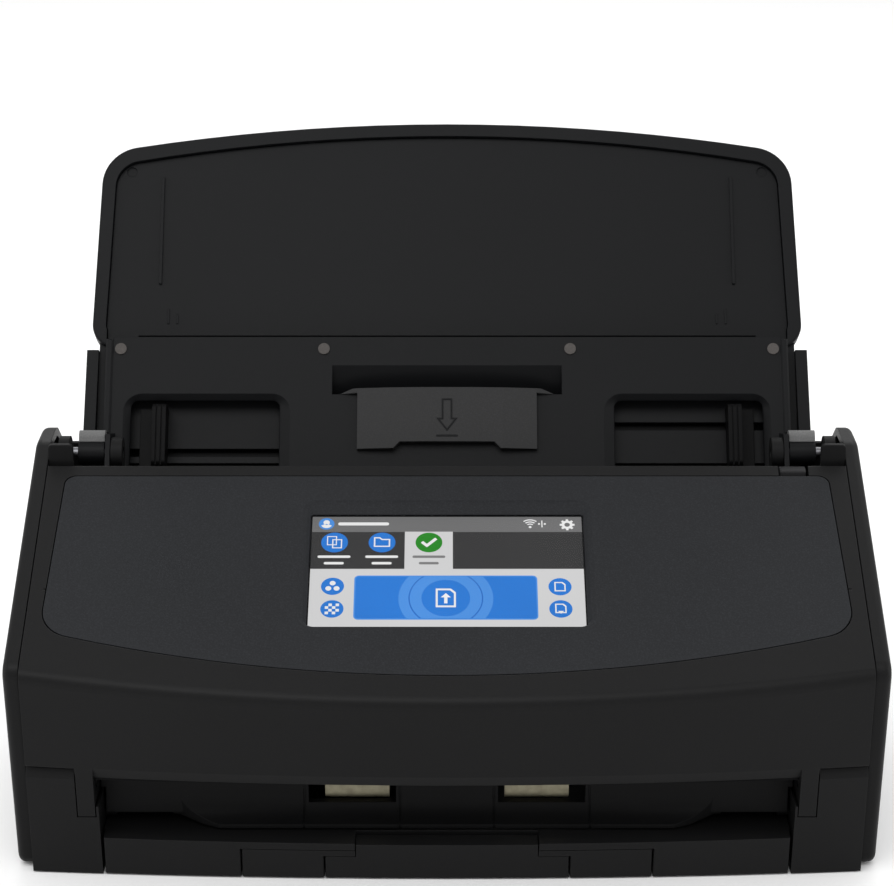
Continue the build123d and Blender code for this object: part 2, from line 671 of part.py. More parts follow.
def make_chute_cover():
    wide = sheet(chute_outline(0), CHUTE_BACK, 1.8)
    back_rim = wide.faces().sort_by(Axis.Z)[0].edges()
    wide = fillet(back_rim, 2.6)
    front_rim = wide.faces().sort_by(Axis.Z)[-1].edges()
    wide = fillet(front_rim, 0.8)
    lower = sheet(lower_outline(0), CHUTE_BACK, 0)
    shell = wide + lower
    shell = shell - sheet(chute_outline(5.0), -2.3, 5) - sheet(lower_outline(2.6, -3.0), -2.3, 5)
    shell = shell - sheet(chute_outline(7.5), -6.3, 0) - sheet(lower_outline(5.5, -3.0), -6.3, 0)
    shell = shell - block(-99.5, 99.5, 100, 140, -5.9, -2.9)
    shell = shell + Pos(0, 9.5, -4.3) * Cylinder(PINION_POST_R, 4.0)
    ear = [(-3.0, CHUTE_BACK), (43.0, CHUTE_BACK), (43.0, 2.0), (12.0, 4.0), (6.5, 9.7), (-3.0, 9.7)]
    for side in (-1, 1):
        face = make_face(Polyline(*[(side * 127.0, s, h) for s, h in ear], close=True))
        shell = shell + extrude(face, amount=4.3, dir=(side, 0, 0))
    bore = Pos(126, 0, HINGE_RISE) * Rot(0, 90, 0) * Cylinder(PIN_R, 20)
    for eye in pair(hinge_eye() - bore):
        shell = shell + eye
    return CHUTE * shell


def make_chute_panel():
    plate = sheet(chute_outline(5.2), -2.3, 0) + sheet(lower_outline(2.8, -2.2), -2.3, 0)
    slots = [block(x0, x1, s, s + 3.0, -3, 1) for x0, x1, s in
             ((54.0, 115.0, 13.0), (-115.0, -54.0, 3.0))]
    slit = block(-113, 113, 48.1, 49.1, -1.0, 1)
    ribs = pair(block(105.0, 106.0, 69, 111, 0, 1.0))
    dimples = pair(Pos(117.3, 113.3, 0) * Cylinder(1.9, 1.2))
    plate = plate - slit
    for cut in slots + dimples:
        plate = plate - cut
    return CHUTE * fuse([plate] + ribs)


def make_knuckle():
    """A rounded cap that sits on top of the chute's hinge barrel."""
    cap = block(KNUCKLE_IN, KNUCKLE_OUT, 0.2, 8.0, -4.0, 1.6)
    cap = fillet(cap.edges().filter_by(Axis.X), 2.4)
    cap = Pos(0, 0, HINGE_RISE) * Rot(16, 0, 0) * cap
    return CHUTE * (cap - hinge_eye())


def hinge_eye():
    """The barrel round the chute pin and the stand that joins it to the chute's side."""
    middle = (KNUCKLE_IN + KNUCKLE_OUT) / 2
    ring = Pos(middle, 0, HINGE_RISE) * Rot(0, 90, 0) * Cylinder(BARREL_R, KNUCKLE_OUT - KNUCKLE_IN)
    return ring + block(KNUCKLE_IN, KNUCKLE_OUT, -2.9, 4.0, 9.7, HINGE_RISE)


def make_chute_pins():
    return pair(rod(PIN_R, 115.6, 137.0, *CHUTE_HINGE))


def make_extension():
    outline = chute_outline(9.0)
    window = Pos(0, 80) * Rectangle(196, 96)
    plate = sheet(outline & window, -5.4, -3.4)
    return CHUTE * plate


def make_side_guide(side):
    """A fence with its foot, a stem through the panel and a rack behind it."""
    fence = block(101.0, 105.9, -3.0, 20.5, 0.3, 10.2)
    fence = fillet(fence.edges().filter_by(Axis.X), 2.0)
    for x in (102.3, 104.1):
        fence = fence - block(x, x + 0.5, -4.0, 22.0, 9.5, 11.0)
    foot_plate = block(101.0, 111.0, -3.0, 20.5, 0.3, 2.0)
    guide = fence + foot_plate
    near = 13.4 if side > 0 else 3.4
    stem = block(102.0, 106.0, near, near + 2.2, -3.2, 0.3)
    rack = block(-24.0, 106.0, near, near + 2.2, -5.6, -3.2)
    guide = guide + stem + rack
    if side < 0:
        upper = guide
        guide = mirror(upper, about=Plane.YZ)
    return CHUTE * guide


def make_guide_pinion():
    wheel = Pos(0, 9.5, -4.4) * Cylinder(3.8, 2.4)
    return CHUTE * (wheel - Pos(0, 9.5, -4.4) * Cylinder(PINION_POST_R + RUN, 4))


# ---- receipt guide ----
def make_receipt_frame():
    plate = rounded_sheet(-121, 121, -5, 46, 6.0, 8.0, 1.2)
    # the windows over the side guides have sloping walls
    rings = [Pos((x0 + x1) / 2, (top - 20) / 2, h) * RectangleRounded(x1 - x0, top + 20, r)
             for x0, x1, top, r, h in ((60.6, 113.8, 22.2, 2.4, 5.9), (56.3, 116.8, 24.6, 7.0, 8.1))]
    for window in pair(loft(rings, ruled=True)):
        plate = plate - window
    plate = plate - block(-41.5, 41.5, 24.2, 36.2, 5, 9)
    ramp_side = [(37.0, 8.0), (36.2, 6.2), (26.6, 0.4), (25.6, 0.9), (35.2, 8.0)]
    ramp_face = make_face(Polyline(*[(-43.5, s, h) for s, h in ramp_side], close=True))
    ramp = extrude(ramp_face, amount=87.0, dir=(1, 0, 0))
    cheeks = pair(block(41.6, 43.5, 20.0, 37.0, 0.9, 8.0))
    flange = block(120.9, 123.6, 9.0, 45.2, 2.6, 8.8)
    flange = chamfer(flange.faces().sort_by(Axis.Z)[-1].edges(), 0.7)
    flanges = pair(flange)
    # each side flange ends in an arm that reaches down in front of the chute pin
    arm_side = [(3.0, 0.9), (9.5, 0.9), (9.5, 8.4), (5.5, 20.8), (-8.6, 20.8), (-8.6, 18.6), (3.0, 18.6)]
    arm_face = make_face(Polyline(*[(119.3, s, h) for s, h in arm_side], close=True))
    arms = pair(extrude(arm_face, amount=1.7, dir=(1, 0, 0)))
    hem = block(-54, 54, -5, -3.4, 6.0, 9.4)
    return CHUTE * fuse([plate, ramp, hem] + cheeks + flanges + arms)


def make_receipt_slot_cover():
    # a shallow five-sided hood, wider at its mouth, with a stepped foot
    crown = [(-38.6, 8.0), (-32.3, 9.9), (-20.2, 11.0), (-9.2, 11.4), (9.2, 11.4), (20.2, 11.0), (32.3, 9.9),
             (38.6, 8.0)]
    hood = extrude(make_face(Polyline(*[(x, 3.2, h) for x, h in crown], close=True)), amount=22.7, dir=(0, 1, 0))
    outline = Polyline((-32.3, 3.2), (32.3, 3.2), (32.3, 24.2), (38.6, 24.2), (36.6, 25.0), (34.0, 25.9),
                       (-34.0, 25.9), (-36.6, 25.0), (-38.6, 24.2), (-32.3, 24.2), close=True)
    body = hood & sheet(make_face(outline), 7, 12)
    hollow = block(-29.5, 29.5, 5.5, 27, 7.5, 9.2)
    foot_step = make_face(Polyline((-19.5, 3.0), (-17.0, 5.6), (17.0, 5.6), (19.5, 3.0), close=True))
    return CHUTE * (body - hollow - sheet(foot_step, 7.0, 12.0))


def make_receipt_pads():
    pads = []
    for x in (44.6, 118.2):
        pads += pair(Pos(x, 41.4, 8.25) * Cylinder(2.1, 0.5))
    return [CHUTE * pad for pad in pads]


# ---- assembly ----
def build_parts():
    pick, feed, exit_centre = shaft_centres()
    lower_rollers = ((19.6, 41.4),)
    parts = {
        "base_tray": [make_base_tray()],
        "rear_cover": [make_rear_cover()],
        "rubber_feet": make_feet(),
        "exit_guide": [make_exit_guide()],
        "lower_paper_guide": [make_lower_guide()],
        "rear_scan_unit": [make_rear_scan_unit()],
        "rear_scan_glass": [make_rear_glass()],
        "main_board": [make_main_board()],
        "power_inlet": [make_power_inlet(), make_inlet_pin()],
        "usb_port": [make_usb_port()],
        "housing_screws": make_screws(),
        "cover_hinge_pins": make_cover_pins(),
        "feed_motor": [make_motor()],
        "motor_pulley": [make_motor_shaft(), make_pulley(MOTOR)],
        "drive_belt": [make_belt()],
        "pick_shaft": [make_shaft(pick)],
        "pick_rollers": roller_group(pick, PICK_R, ((10.5, 25.5),), SHAFT_R),
        "pick_pulley": [make_pulley(pick)],
        "feed_shaft": [make_shaft(feed)],
        "feed_rollers": roller_group(feed, FEED_R, ((30.5, 45.5), (75.5, 90.5)), SHAFT_R),
        "feed_pulley": [make_pulley(feed)],
        "exit_shaft": [make_shaft(exit_centre)],
        "exit_rollers": roller_group(exit_centre, EXIT_R, lower_rollers, SHAFT_R),
        "exit_pulley": [make_pulley(exit_centre)],
        "stacker_tray": [make_stacker_tray()],
        "stacker_extension_1": [make_stacker_one()],
        "stacker_extension_2": [make_stacker_two()],
        "front_frame": [make_front_frame()],
        "control_panel": [make_control_panel()],
        "touch_glass": [make_touch_glass()],
        "lcd_module": [make_lcd_module()],
        "panel_board": [make_panel_board()],
        "front_paper_guide": [make_front_guide()],
        "front_scan_unit": [make_front_scan_unit()],
        "front_scan_glass": [make_front_glass()],
        "front_roller_shafts": make_front_shafts(),
        "brake_rollers": front_rollers(brake_centre(), 7.0, ((10.5, 25.5),)),
        "feed_idlers": front_rollers(idler_centres()[0], 5.0, ((30.5, 45.5), (75.5, 90.5))),
        "exit_idlers": front_rollers(idler_centres()[1], 4.5, ((19.6, 41.4),)),
        "shaft_clips": make_shaft_clips(),
        "cover_release_lever": [make_lever()],
        "lever_pin": [make_lever_pin()],
        "chute_cover": [make_chute_cover()],
        "chute_panel": [make_chute_panel()],
        "chute_hinge_pins": make_chute_pins(),
        "chute_extension": [make_extension()],
        "guide_pinion": [make_guide_pinion()],
        "receipt_guide_frame": [make_receipt_frame()],
        "receipt_slot_cover": [make_receipt_slot_cover()],
        "receipt_guide_pads": make_receipt_pads(),
        "hinge_lugs": make_hinge_lugs(),
        "hinge_knuckles": pair(make_knuckle()),
    }
    sided = {
        "side_cover": make_side_cover(),
        "corner_block": make_corner_block(),
    }
    for name, shape in sided.items():
        right, left = pair(shape)
        parts[name + "_right"] = [right]
        parts[name + "_left"] = [left]
    for side, name in ((1, "right"), (-1, "left")):
        parts["bearing_wall_" + name] = [make_bearing_wall(side)]
        parts["side_guide_" + name] = [make_side_guide(side)]
    return parts


def middle_of(parts):
    low = min(shape.bounding_box().min.Y for solids in parts.values() for shape in solids)
    high = max(shape.bounding_box().max.Y for solids in parts.values() for shape in solids)
    return (low + high) / 2


def write_parts(parts):
    os.makedirs("parts", exist_ok=True)
    shift = Pos(0, -middle_of(parts), 0)
    for name, solids in parts.items():
        moved = [shift * shape for shape in solids]
        shape = moved[0] if len(moved) == 1 else Compound(children=moved)
        export_step(shape, "parts/" + name + ".step")


if __name__ == "__main__":
    write_parts(build_parts())
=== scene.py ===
import json
import math
import bpy
from mathutils import Matrix, Vector


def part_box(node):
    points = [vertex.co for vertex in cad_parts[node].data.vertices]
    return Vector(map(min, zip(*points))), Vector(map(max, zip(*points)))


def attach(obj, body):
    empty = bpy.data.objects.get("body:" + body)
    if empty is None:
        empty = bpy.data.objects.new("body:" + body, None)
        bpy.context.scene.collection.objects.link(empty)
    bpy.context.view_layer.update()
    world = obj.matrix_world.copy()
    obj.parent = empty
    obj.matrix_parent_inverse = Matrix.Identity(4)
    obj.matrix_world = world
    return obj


# Sheet-fed desktop document scanner: finishes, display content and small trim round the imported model.
# Metres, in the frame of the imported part: X to the right, Y to the back, Z up, feet at Z = 0.

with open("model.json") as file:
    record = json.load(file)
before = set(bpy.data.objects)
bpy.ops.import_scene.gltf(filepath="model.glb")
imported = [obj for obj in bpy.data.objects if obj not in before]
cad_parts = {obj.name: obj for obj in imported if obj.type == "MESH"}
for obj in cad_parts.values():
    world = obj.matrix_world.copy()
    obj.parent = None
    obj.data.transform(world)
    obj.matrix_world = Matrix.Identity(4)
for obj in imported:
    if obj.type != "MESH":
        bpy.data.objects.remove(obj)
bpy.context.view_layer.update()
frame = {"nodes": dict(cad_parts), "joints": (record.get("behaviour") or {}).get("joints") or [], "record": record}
nodes = frame["nodes"]
joints = {joint["name"]: joint for joint in frame["joints"]}
MM = 0.001
PANEL_TILT = math.radians(25.9)     # slope of the control panel
DISPLAY_THICK = 4.0 * MM
HINGE_RISE = 16.2 * MM              # the chute's hinge stands this far in front of its paper surface
CAMERA_PITCH = 19                   # degrees down
CAMERA_BACK = 0.819                 # camera in front of the cover hinge
CAMERA_HIGH = 0.4359


# ---- shader helpers ----
def new_material(name):
    material = bpy.data.materials.new(name)
    material.use_nodes = True
    tree = material.node_tree
    tree.nodes.clear()
    output = tree.nodes.new("ShaderNodeOutputMaterial")
    shader = tree.nodes.new("ShaderNodeBsdfPrincipled")
    tree.links.new(shader.outputs["BSDF"], output.inputs["Surface"])
    return material, tree, shader


def place(tree, stretch=(1, 1, 1)):
    """Coordinates fixed to the object, in metres, stretched along each axis."""
    coordinates = tree.nodes.new("ShaderNodeTexCoord")
    mapping = tree.nodes.new("ShaderNodeMapping")
    mapping.inputs["Scale"].default_value = stretch
    tree.links.new(coordinates.outputs["Object"], mapping.inputs["Vector"])
    return mapping.outputs["Vector"]


def noise(tree, where, scale, detail=2.0):
    texture = tree.nodes.new("ShaderNodeTexNoise")
    texture.inputs["Scale"].default_value = scale
    texture.inputs["Detail"].default_value = detail
    tree.links.new(where, texture.inputs["Vector"])
    return texture.outputs["Fac"]


def remap(tree, value, low, high, to_low, to_high):
    node = tree.nodes.new("ShaderNodeMapRange")
    for name, number in (("From Min", low), ("From Max", high), ("To Min", to_low), ("To Max", to_high)):
        node.inputs[name].default_value = number
    tree.links.new(value, node.inputs["Value"])
    return node.outputs["Result"]


def blend_colours(tree, factor, first, second):
    """A mix of two colours, each a tuple or another node's output."""
    node = tree.nodes.new("ShaderNodeMix")
    node.data_type = "RGBA"
    tree.links.new(factor, node.inputs["Factor"])
    for socket, colour in ((node.inputs[6], first), (node.inputs[7], second)):
        if isinstance(colour, tuple):
            socket.default_value = (*colour, 1)
        else:
            tree.links.new(colour, socket)
    return node.outputs[2]


def edge_mask(tree, radius):
    """Near 1 at corners and edges and 0 on flat ground, with the rounded normal."""
    bevel = tree.nodes.new("ShaderNodeBevel")
    bevel.samples = 4
    bevel.inputs["Radius"].default_value = radius
    geometry = tree.nodes.new("ShaderNodeNewGeometry")
    dot = tree.nodes.new("ShaderNodeVectorMath")
    dot.operation = "DOT_PRODUCT"
    tree.links.new(bevel.outputs["Normal"], dot.inputs[0])
    tree.links.new(geometry.outputs["Normal"], dot.inputs[1])
    return remap(tree, dot.outputs["Value"], 0.995, 0.75, 0, 1), bevel.outputs["Normal"]


def add_bump(tree, shader, height, distance, normal=None):
    bump = tree.nodes.new("ShaderNodeBump")
    bump.inputs["Distance"].default_value = distance
    bump.inputs["Strength"].default_value = 1.0
    tree.links.new(height, bump.inputs["Height"])
    if normal is not None:
        tree.links.new(normal, bump.inputs["Normal"])
    tree.links.new(bump.outputs["Normal"], shader.inputs["Normal"])


def shade(colour, factor):
    return tuple(min(1, c * factor) for c in colour)


# ---- materials ----
def moulded_plastic(name, colour, rough, grain=2200, depth=0.00002, speckle=0.25, edge=1.5, round_off=0.0004,
                    gloss=0.1):
    """Moulded plastic with a spark-eroded grain, faint tonal drift and a painted highlight along its edges."""
    material, tree, shader = new_material(name)
    where = place(tree)
    fine = noise(tree, where, grain, 3)
    drift = noise(tree, where, 14, 2)
    drifted = blend_colours(tree, remap(tree, drift, 0.3, 0.7, 0, 1), shade(colour, 0.94), shade(colour, 1.06))
    spots = remap(tree, fine, 0.45, 0.75, 0, speckle)
    spotted = blend_colours(tree, spots, drifted, shade(colour, 2.4))
    mask, rounded = edge_mask(tree, round_off)
    # painted highlight: the edge mask lightens edges and corners towards shade(colour, edge)
    edge_highlight = remap(tree, mask, 0, 1, 0, 0.8)
    tree.links.new(blend_colours(tree, edge_highlight, spotted, shade(colour, edge)), shader.inputs["Base Color"])
    tree.links.new(remap(tree, fine, 0.3, 0.7, rough - 0.06, rough + 0.06), shader.inputs["Roughness"])
    shader.inputs["Specular IOR Level"].default_value = gloss
    add_bump(tree, shader, fine, depth, rounded)
    return material


def ground_rubber(name, colour, rough, rings=1500):
    """Rubber ground on a lathe: fine rings round the axle and a dusty bloom."""
    material, tree, shader = new_material(name)
    rings_height = noise(tree, place(tree, (1, 0.02, 0.02)), rings, 2)
    bloom = noise(tree, place(tree), 300, 4)
    shown = blend_colours(tree, remap(tree, bloom, 0.35, 0.7, 0, 1), shade(colour, 0.85), shade(colour, 1.2))
    tree.links.new(shown, shader.inputs["Base Color"])
    tree.links.new(remap(tree, bloom, 0.3, 0.7, rough - 0.08, rough + 0.05), shader.inputs["Roughness"])
    shader.inputs["Specular IOR Level"].default_value = 0.3
    add_bump(tree, shader, rings_height, 0.00006)
    return material


def brushed_metal(name, colour, rough, stretch=(0.04, 1, 1)):
    material, tree, shader = new_material(name)
    lines = noise(tree, place(tree, stretch), 2500, 4)
    tone = remap(tree, lines, 0.3, 0.7, 0, 1)
    tree.links.new(blend_colours(tree, tone, shade(colour, 0.82), shade(colour, 1.1)), shader.inputs["Base Color"])
    tree.links.new(remap(tree, lines, 0.3, 0.7, rough - 0.08, rough + 0.1), shader.inputs["Roughness"])
    shader.inputs["Metallic"].default_value = 1.0
    mask, rounded = edge_mask(tree, 0.0002)
    add_bump(tree, shader, lines, 0.000008, rounded)
    return material


def clear_glass(name, tint, alpha, rough):
    """A thin pane: mostly clear, with its own reflection and a few smears."""
    material, tree, shader = new_material(name)
    smear = noise(tree, place(tree, (1, 1.6, 1)), 60, 5)
    tree.links.new(remap(tree, smear, 0.35, 0.75, rough, rough + 0.1), shader.inputs["Roughness"])
    tree.links.new(blend_colours(tree, smear, tint, shade(tint, 1.3)), shader.inputs["Base Color"])
    shader.inputs["Alpha"].default_value = alpha
    shader.inputs["IOR"].default_value = 1.5
    return material


def circuit_board(name):
    """Solder mask over tracks, with bare pads."""
    material, tree, shader = new_material(name)
    where = place(tree)
    tracks = tree.nodes.new("ShaderNodeTexBrick")
    tracks.inputs["Scale"].default_value = 160
    tracks.inputs["Mortar Size"].default_value = 0.03
    tracks.inputs["Color1"].default_value = (0.012, 0.085, 0.04, 1)
    tracks.inputs["Color2"].default_value = (0.016, 0.11, 0.05, 1)
    tracks.inputs["Mortar"].default_value = (0.03, 0.17, 0.08, 1)
    tree.links.new(where, tracks.inputs["Vector"])
    pads = tree.nodes.new("ShaderNodeTexVoronoi")
    pads.inputs["Scale"].default_value = 240
    tree.links.new(where, pads.inputs["Vector"])
    bare = remap(tree, pads.outputs["Distance"], 0.13, 0.1, 0, 1)
    tree.links.new(blend_colours(tree, bare, tracks.outputs["Color"], (0.75, 0.6, 0.3)), shader.inputs["Base Color"])
    tree.links.new(bare, shader.inputs["Metallic"])
    shader.inputs["Roughness"].default_value = 0.35
    add_bump(tree, shader, tracks.outputs["Fac"], 0.00003)
    return material


def lit_pixels(name, colour, glow, drift=0.06):
    """A patch of a lit display: its colour drifts a little and shows the pixel grid."""
    material, tree, shader = new_material(name)
    where = place(tree)
    slow = noise(tree, where, 22, 1)
    fine = noise(tree, where, 4200, 1)
    base = blend_colours(tree, remap(tree, slow, 0.3, 0.7, 0, 1), shade(colour, 1 - drift), shade(colour, 1 + drift))
    shown = blend_colours(tree, remap(tree, fine, 0.35, 0.65, 0, 0.12), base, shade(colour, 0.8))
    tree.links.new(shown, shader.inputs["Emission Color"])
    shader.inputs["Base Color"].default_value = (0.004, 0.004, 0.004, 1)
    shader.inputs["Specular IOR Level"].default_value = 0.1
    shader.inputs["Emission Strength"].default_value = glow
    shader.inputs["Roughness"].default_value = 0.5
    return material


def finishes():
    """One material for each slot of the record."""
    return {
        "base_plastic": moulded_plastic("base_plastic", (0.0052, 0.0052, 0.0054), 0.55),
        "cover_plastic": moulded_plastic("cover_plastic", (0.0064, 0.0064, 0.0066), 0.44, depth=0.000012, edge=2.6),
        "panel_plastic": moulded_plastic("panel_plastic", (0.0126, 0.0134, 0.015), 0.62, 1900, 0.00003, 0.5),
        "exit_plastic": moulded_plastic("exit_plastic", (0.0055, 0.0055, 0.0057), 0.42, gloss=0.08),
        # guide_plastic is darker and less glossy than the other plastics: painted shade for the guides, which stand
        # in shadow inside the chute
        "guide_plastic": moulded_plastic("guide_plastic", (0.0022, 0.0022, 0.0024), 0.42, edge=3.0, gloss=0.05),
        "stacker_plastic": moulded_plastic("stacker_plastic", (0.0068, 0.0068, 0.007), 0.42, depth=0.000012,
                                           edge=2.6),
        "chute_plastic": moulded_plastic("chute_plastic", (0.0036, 0.0038, 0.0043), 0.48, depth=0.000014, edge=2.6),
        "receipt_plastic": moulded_plastic("receipt_plastic", (0.0038, 0.004, 0.0045), 0.5, depth=0.000014,
                                           edge=2.6),
        "receipt_cover_plastic": moulded_plastic("receipt_cover_plastic", (0.0225, 0.0225, 0.023), 0.55),
        "pad_plastic": moulded_plastic("pad_plastic", (0.06, 0.055, 0.052), 0.6),
        # knuckle_plastic: the pale grey of the hinge knuckle's cap is partly its own colour and partly a painted
        # highlight for the knuckle's lit top
        "knuckle_plastic": moulded_plastic("knuckle_plastic", (0.11, 0.11, 0.11), 0.5),
        "lever_plastic": moulded_plastic("lever_plastic", (0.02, 0.02, 0.021), 0.5),
        "pulley_plastic": moulded_plastic("pulley_plastic", (0.55, 0.54, 0.5), 0.45, edge=1.05),
        "foot_rubber": moulded_plastic("foot_rubber", (0.02, 0.02, 0.02), 0.85, 900, 0.00005),
        "belt_rubber": moulded_plastic("belt_rubber", (0.018, 0.018, 0.018), 0.8, 1200, 0.00005),
        "roller_rubber": ground_rubber("roller_rubber", (0.05, 0.052, 0.058), 0.75),
        "exit_roller_rubber": ground_rubber("exit_roller_rubber", (0.36, 0.33, 0.23), 0.7),
        "display_glass": clear_glass("display_glass", (0.005, 0.005, 0.005), 0.06, 0.06),
        "display_panel": moulded_plastic("display_panel", (0.006, 0.006, 0.007), 0.3),
        "scan_glass": clear_glass("scan_glass", (0.55, 0.62, 0.6), 0.35, 0.04),
        "circuit_board": circuit_board("circuit_board"),
        "connector": moulded_plastic("connector", (0.015, 0.015, 0.015), 0.3),
        "connector_metal": brushed_metal("connector_metal", (0.6, 0.6, 0.61), 0.35),
        "motor_metal": brushed_metal("motor_metal", (0.42, 0.42, 0.44), 0.4),
        "sheet_steel": brushed_metal("sheet_steel", (0.5, 0.5, 0.51), 0.42, (1, 1, 0.05)),
        "steel": brushed_metal("steel", (0.16, 0.16, 0.17), 0.36),
    }


def paint_frame():
    made = finishes()
    for entry in frame["record"]["subparts"]:
        mesh = nodes[entry["node"]].data
        mesh.materials.clear()
        mesh.materials.append(made[entry["material_slot"]])
    return made


materials = paint_frame()


# ---- planes of the object ----
def plane_matrix(origin, along, normal):
    """Local x is the row's X, local y is along, local z is the normal."""
    matrix = Matrix.Identity(4)
    for column, vector in enumerate((Vector((1, 0, 0)), along, normal, origin)):
        for row in range(3):
            matrix[row][column] = vector[row]
    return matrix


def display_plane():
    """The face of the display module, with y = 0 at its lower edge."""
    rise, run = math.sin(PANEL_TILT), math.cos(PANEL_TILT)
    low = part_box("lcd_module")[0]
    origin = Vector((0, low.y, low.z + DISPLAY_THICK * run))
    return plane_matrix(origin, Vector((0, run, rise)), Vector((0, -rise, run)))


def chute_plane():
    """The paper surface of the chute, with y = 0 at the foot of its hinge."""
    along = Vector(joints["chute_extension_slide"]["axis"]).normalized()
    normal = Vector((1, 0, 0)).cross(along)
    return plane_matrix(Vector(joints["chute_hinge"]["pos_m"]) - normal * HINGE_RISE, along, normal)


DISPLAY = display_plane()
CHUTE = chute_plane()


# ---- outlines, in millimetres on a local plane ----
def rectangle(x0, x1, y0, y1, r=0.0, steps=6):
    if r <= 0:
        return [(x0, y0), (x1, y0), (x1, y1), (x0, y1)]
    points = []
    for cx, cy, start in ((x1 - r, y0 + r, -90), (x1 - r, y1 - r, 0), (x0 + r, y1 - r, 90), (x0 + r, y0 + r, 180)):
        for k in range(steps + 1):
            a = math.radians(start + 90 * k / steps)
            points.append((cx + r * math.cos(a), cy + r * math.sin(a)))
    return points


def arc(cx, cy, r, start=0, end=360, steps=48):
    count = steps if end - start >= 360 else steps + 1
    turn = [math.radians(start + (end - start) * k / steps) for k in range(count)]
    return [(cx + r * math.cos(a), cy + r * math.sin(a)) for a in turn]


def arc_band(cx, cy, inner, outer, start, end, steps=16):
    return arc(cx, cy, outer, start, end, steps) + arc(cx, cy, inner, start, end, steps)[::-1]


def gear(cx, cy, r, teeth=8):
    """A settings wheel: tooth and gap in turn."""
    points = []
    for k in range(teeth):
        for turn, radius in ((-0.32, 0.74), (-0.2, 1.0), (0.2, 1.0), (0.32, 0.74)):
            a = 2 * math.pi * (k + turn) / teeth
            points.append((cx + r * radius * math.cos(a), cy + r * radius * math.sin(a)))
    return points


def folded_page(cx, cy, w, h, fold):
    return [(cx - w, cy - h), (cx + w, cy - h), (cx + w, cy + h - fold), (cx + w - fold, cy + h), (cx - w, cy + h)]


def arrow(cx, tip, foot, half_head, half_stem, neck):
    return [(cx, tip), (cx + half_head, neck), (cx + half_stem, neck), (cx + half_stem, foot),
            (cx - half_stem, foot), (cx - half_stem, neck), (cx - half_head, neck)]


def flat_piece(name, loops, plane, low, high, material, body, soft=0.0):
    """Loops on a local plane, in millimetres, made into a thin solid between two heights of it."""
    curve = bpy.data.curves.new(name, "CURVE")
    curve.dimensions = "2D"
    curve.fill_mode = "BOTH"
    curve.extrude = (high - low) / 2 * MM - soft * MM
    curve.bevel_depth = soft * MM
    curve.bevel_resolution = 2
    curve.offset = -soft * MM
    for loop in loops:
        spline = curve.splines.new("POLY")
        spline.points.add(len(loop) - 1)
        for point, (x, y) in zip(spline.points, loop):
            point.co = (x * MM, y * MM, 0, 1)
        spline.use_cyclic_u = True
    drawn = bpy.data.objects.new(name + "_outline", curve)
    bpy.context.scene.collection.objects.link(drawn)
    bpy.context.view_layer.update()
    mesh = bpy.data.meshes.new_from_object(drawn.evaluated_get(bpy.context.evaluated_depsgraph_get()))
    bpy.data.objects.remove(drawn)
    mesh.name = name
    mesh.transform(plane @ Matrix.Translation((0, 0, (low + high) / 2 * MM)))
    mesh.materials.clear()
    mesh.materials.append(material)
    piece = bpy.data.objects.new(name, mesh)
    bpy.context.scene.collection.objects.link(piece)
    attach(piece, body)
    return piece


# ---- display content ----
SCREEN_HALF = 46.5
SCREEN_LOW = 6.0
SCREEN_TOP = 56.6
HEADER_LOW = 49.4
TILES_LOW = 32.2
LAYER = 0.05                # each layer of the display content stands this much higher


def display_materials():
    return {
        "paper": lit_pixels("screen_paper", (0.7, 0.7, 0.705), 1.0, 0.02),
        "header": lit_pixels("screen_header", (0.17, 0.17, 0.172), 1.0),
        "dark": lit_pixels("screen_dark", (0.035, 0.035, 0.036), 1.0),
        "blue": lit_pixels("screen_blue", (0.018, 0.2, 0.7), 1.0),
        "pale_blue": lit_pixels("screen_pale_blue", (0.075, 0.3, 0.8), 1.0),
        "line_blue": lit_pixels("screen_line_blue", (0.015, 0.15, 0.58), 1.0),
        "green": lit_pixels("screen_green", (0.015, 0.26, 0.012), 1.0),
        "white": lit_pixels("screen_white", (0.9, 0.9, 0.9), 1.0, 0.02),
        "label_grey": lit_pixels("screen_label_grey", (0.22, 0.22, 0.22), 1.0),
    }


